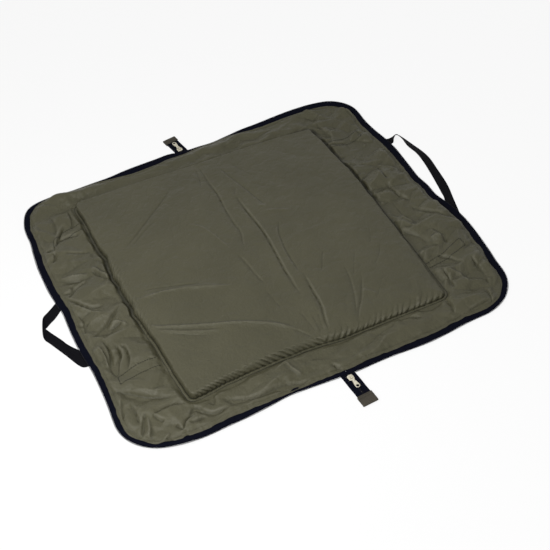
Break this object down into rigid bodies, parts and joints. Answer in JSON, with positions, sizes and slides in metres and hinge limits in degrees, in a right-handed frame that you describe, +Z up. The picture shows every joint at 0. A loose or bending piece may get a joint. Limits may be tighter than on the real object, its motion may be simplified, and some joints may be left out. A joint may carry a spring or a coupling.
{
  "type": "unhooking mat",
  "caption": "Padded fishing unhooking mat of olive nylon that folds in half, with a zip round its rounded rim, a zip tail at each end of the fold and a webbing handle on each side.",
  "frame": {"origin": "on the floor under the middle of the fold, on the underside of the base sheet", "axes": "+X along the 73 cm side towards the right half and its handle, +Y along the fold towards the far zip tail, +Z up, away from the floor"},
  "size_m": [0.8167, 0.827, 0.022],
  "materials": {
    "nylon": "olive coated nylon, slight sheen",
    "foam": "closed-cell foam",
    "zip_tape": "woven navy-black tape",
    "zip_coil": "black nylon coil",
    "webbing": "black ribbed webbing",
    "tab_ribbon": "olive-brown grosgrain ribbon",
    "slider_metal": "pale plated die cast"
  },
  "bodies": {
    "spine": {"base_sheet_spine": "nylon", "cover_spine": "nylon", "rim_tape_near_left": "zip_tape", "rim_tape_near_right": "zip_tape", "rim_tape_far_left": "zip_tape", "rim_tape_far_right": "zip_tape"},
    "left_half": {"base_sheet_left": "nylon", "cover_left": "nylon", "foam_pad_left": "foam", "zip_tape_left": "zip_tape", "zip_coil_left": "zip_coil", "handle_end_left_near": "webbing", "handle_end_left_far": "webbing"},
    "right_half": {"base_sheet_right": "nylon", "cover_right": "nylon", "foam_pad_right": "foam", "zip_tape_right": "zip_tape", "zip_coil_right": "zip_coil", "handle_end_right_near": "webbing", "handle_end_right_far": "webbing"},
    "left_loop": {"handle_left": "webbing"},
    "right_loop": {"handle_right": "webbing"},
    "near_tail": {"tail_tape_near_left": "zip_tape", "tail_tape_near_right": "zip_tape", "tail_coil_near_left": "zip_coil", "tail_coil_near_right": "zip_coil", "end_tab_near": "tab_ribbon"},
    "far_tail": {"tail_tape_far_left": "zip_tape", "tail_tape_far_right": "zip_tape", "tail_coil_far_left": "zip_coil", "tail_coil_far_right": "zip_coil", "end_tab_far": "tab_ribbon"},
    "near_slider": {"slider_body_near": "slider_metal"},
    "far_slider": {"slider_body_far": "slider_metal"},
    "near_pull": {"pull_tab_near": "slider_metal"},
    "far_pull": {"pull_tab_far": "slider_metal"}
  },
  "joints": [
    {"name": "fold_left", "type": "hinge", "parent": "spine", "child": "left_half", "pos_m": [-0.019, 0, 0.0044], "axis": [0, 1, 0], "range_deg": [0, 90], "deforming": ["cover_spine"]},
    {"name": "fold_right", "type": "hinge", "parent": "spine", "child": "right_half", "pos_m": [0.019, 0, 0.0044], "axis": [0, -1, 0], "range_deg": [0, 90]},
    {"name": "handle_left_lift", "type": "hinge", "parent": "left_half", "child": "left_loop", "pos_m": [-0.3695, 0, 0.0014], "axis": [0, -1, 0], "range_deg": [-90, 0]},
    {"name": "handle_right_lift", "type": "hinge", "parent": "right_half", "child": "right_loop", "pos_m": [0.3695, 0, 0.0014], "axis": [0, 1, 0], "range_deg": [-90, 0]},
    {"name": "tail_near_lift", "type": "hinge", "parent": "spine", "child": "near_tail", "pos_m": [0.011, -0.34879, 0.0034], "axis": [0.9981, 0.061, 0], "range_deg": [-90, 0]},
    {"name": "tail_far_lift", "type": "hinge", "parent": "spine", "child": "far_tail", "pos_m": [-0.003, 0.35211, 0.0034], "axis": [-0.9903, -0.1392, 0], "range_deg": [-90, 0]},
    {"name": "slider_near_slide", "type": "slide", "parent": "near_tail", "child": "near_slider", "axis": [0.061, -0.9981, 0], "range_m": [0, 0.034]},
    {"name": "slider_far_slide", "type": "slide", "parent": "far_tail", "child": "far_slider", "axis": [-0.1392, 0.9903, 0], "range_m": [0, 0.023]},
    {"name": "pull_near_flip", "type": "hinge", "parent": "near_slider", "child": "near_pull", "pos_m": [0.01145, -0.35623, 0.0064], "axis": [-0.9981, -0.061, 0], "range_deg": [0, 170]},
    {"name": "pull_far_flip", "type": "hinge", "parent": "far_slider", "child": "far_pull", "pos_m": [-0.00404, 0.35949, 0.0064], "axis": [0.9903, 0.1392, 0], "range_deg": [0, 170]}
  ]
}
